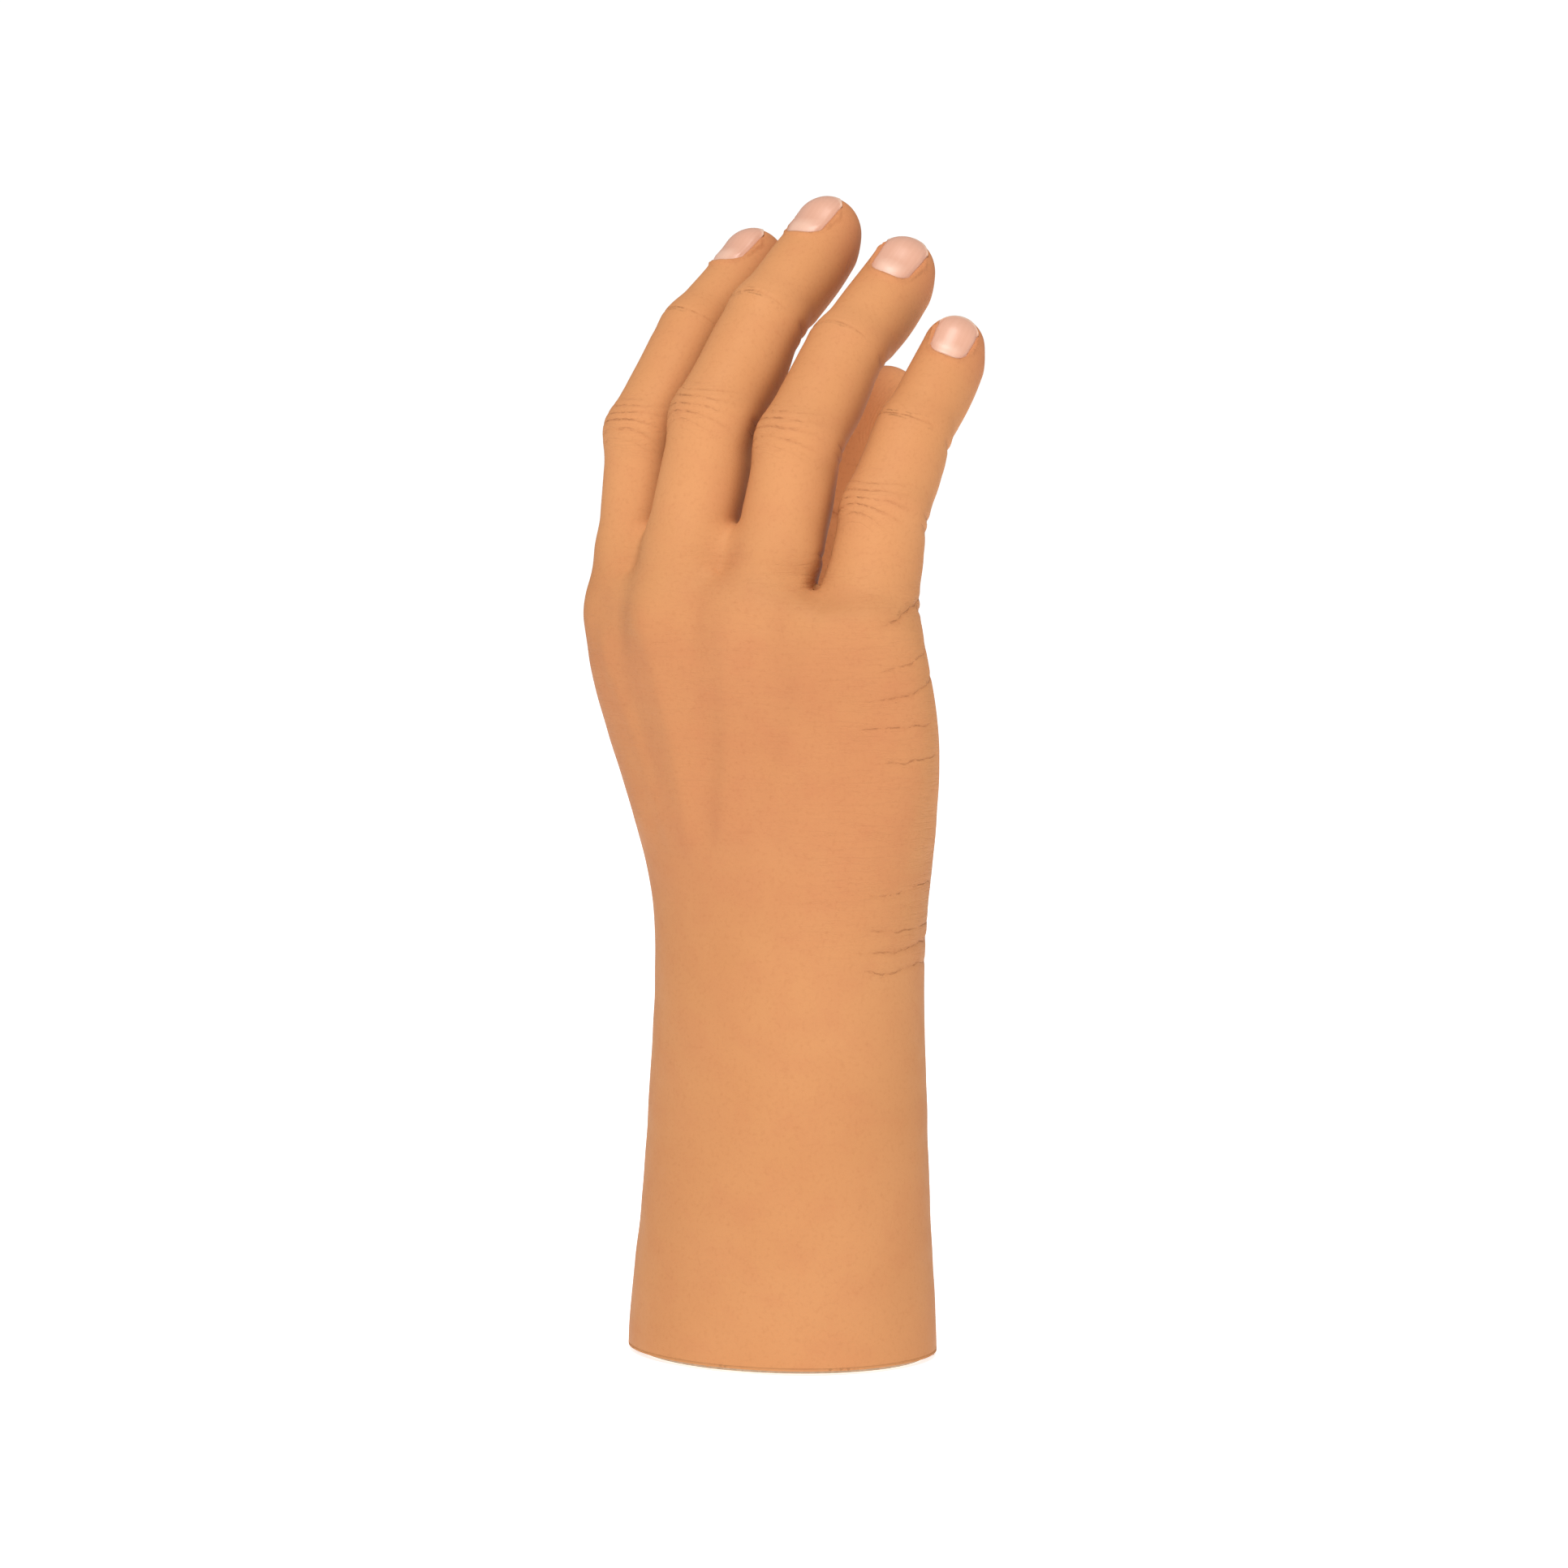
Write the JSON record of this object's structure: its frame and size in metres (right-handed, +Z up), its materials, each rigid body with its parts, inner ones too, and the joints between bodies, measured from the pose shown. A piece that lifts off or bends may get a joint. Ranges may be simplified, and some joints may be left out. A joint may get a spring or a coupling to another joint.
{
  "type": "prosthetic hand",
  "caption": "Passive positionable right prosthetic hand on a forearm section, with friction-jointed fingers, swivelling thumb, turning wrist and a one-piece silicone skin glove.",
  "frame": {"origin": "centre of the cut end of the forearm, where the threaded insert opens", "axes": "+Z up the forearm towards the fingertips, +X towards the little finger, +Y towards the palm; the back of the hand faces -Y"},
  "size_m": [0.0841, 0.0973, 0.2576],
  "materials": {
    "glove_skin": "soft silicone skin, satin, with skin lines and creases",
    "nail": "pink acrylic nail, semi-gloss",
    "foam": "moulded flexible foam",
    "laminate": "laminated resin shell",
    "plug_plastic": "machined plastic",
    "bush_plastic": "machined acetal",
    "brass": "machined brass",
    "alloy": "machined light alloy",
    "steel": "stainless steel"
  },
  "bodies": {
    "forearm": {"forearm_shell": "laminate", "base_plug": "plug_plastic", "base_insert": "brass", "plug_screws": "steel", "wrist_housing": "plug_plastic", "wrist_bush": "bush_plastic", "cosmetic_glove": "glove_skin"},
    "palm": {"wrist_stud": "steel", "friction_washer": "steel", "wrist_nut": "steel", "palm_frame": "alloy", "frame_screws": "steel", "palm_pad_dorsal": "foam", "palm_pad_palmar": "foam", "thumb_bracket": "alloy", "thumb_swivel_pin": "steel", "index_knuckle_pin": "steel", "middle_knuckle_pin": "steel", "ring_knuckle_pin": "steel", "little_knuckle_pin": "steel"},
    "index_proximal": {"index_proximal_link": "alloy", "index_proximal_pad": "foam", "index_middle_pin": "steel"},
    "index_tip": {"index_tip_core": "alloy", "index_tip_pad": "foam", "index_nail": "nail"},
    "middle_proximal": {"middle_proximal_link": "alloy", "middle_proximal_pad": "foam", "middle_middle_pin": "steel"},
    "middle_tip": {"middle_tip_core": "alloy", "middle_tip_pad": "foam", "middle_nail": "nail"},
    "ring_proximal": {"ring_proximal_link": "alloy", "ring_proximal_pad": "foam", "ring_middle_pin": "steel"},
    "ring_tip": {"ring_tip_core": "alloy", "ring_tip_pad": "foam", "ring_nail": "nail"},
    "little_proximal": {"little_proximal_link": "alloy", "little_proximal_pad": "foam", "little_middle_pin": "steel"},
    "little_tip": {"little_tip_core": "alloy", "little_tip_pad": "foam", "little_nail": "nail"},
    "thumb_base": {"thumb_base_link": "alloy", "thumb_base_pad": "foam", "thumb_tip_pin": "steel"},
    "thumb_tip": {"thumb_tip_core": "alloy", "thumb_tip_pad": "foam", "thumb_nail": "nail"}
  },
  "joints": [
    {"name": "wrist_turn", "type": "hinge", "parent": "forearm", "child": "palm", "pos_m": [0, 0, 0.085], "axis": [0, 0, 1], "range_deg": [-30, 30], "deforming": ["cosmetic_glove"]},
    {"name": "index_knuckle", "type": "hinge", "parent": "palm", "child": "index_proximal", "pos_m": [-0.0315, -0.014, 0.178], "axis": [-0.999, 0.0436, -0.0087], "range_deg": [-15, 20], "deforming": ["cosmetic_glove"]},
    {"name": "index_middle", "type": "hinge", "parent": "index_proximal", "child": "index_tip", "pos_m": [-0.03156, -0.01007, 0.20431], "axis": [-0.999, 0.0436, -0.0087], "range_deg": [-20, 30], "deforming": ["cosmetic_glove"]},
    {"name": "middle_knuckle", "type": "hinge", "parent": "palm", "child": "middle_proximal", "pos_m": [-0.0134, -0.0171, 0.179], "axis": [-0.9999, 0.0087, 0.0087], "range_deg": [-15, 20], "deforming": ["cosmetic_glove"]},
    {"name": "middle_middle", "type": "hinge", "parent": "middle_proximal", "child": "middle_tip", "pos_m": [-0.01308, -0.00857, 0.20745], "axis": [-0.9999, 0.0087, 0.0087], "range_deg": [-20, 30], "deforming": ["cosmetic_glove"]},
    {"name": "ring_knuckle", "type": "hinge", "parent": "palm", "child": "ring_proximal", "pos_m": [0.006, -0.0094, 0.178], "axis": [-0.9996, -0.0262, 0.0087], "range_deg": [-15, 20], "deforming": ["cosmetic_glove"]},
    {"name": "ring_middle", "type": "hinge", "parent": "ring_proximal", "child": "ring_tip", "pos_m": [0.00603, -0.00246, 0.20254], "axis": [-0.9996, -0.0262, 0.0087], "range_deg": [-20, 30], "deforming": ["cosmetic_glove"]},
    {"name": "little_knuckle", "type": "hinge", "parent": "palm", "child": "little_proximal", "pos_m": [0.0241, -0.0012, 0.1675], "axis": [-0.9983, -0.0523, 0.0261], "range_deg": [-15, 20], "deforming": ["cosmetic_glove"]},
    {"name": "little_middle", "type": "hinge", "parent": "little_proximal", "child": "little_tip", "pos_m": [0.0243, 0.0049, 0.18749], "axis": [-0.9983, -0.0523, 0.0261], "range_deg": [-20, 30], "deforming": ["cosmetic_glove"]},
    {"name": "thumb_swivel", "type": "hinge", "parent": "palm", "child": "thumb_base", "pos_m": [-0.022, 0.0095, 0.108], "axis": [0, 0, 1], "range_deg": [-10, 40], "deforming": ["cosmetic_glove"]},
    {"name": "thumb_tip_hinge", "type": "hinge", "parent": "thumb_base", "child": "thumb_tip", "pos_m": [-0.02746, 0.04941, 0.18421], "axis": [-0.3865, -0.8281, 0.4059], "range_deg": [-25, 15], "deforming": ["cosmetic_glove"]}
  ]
}
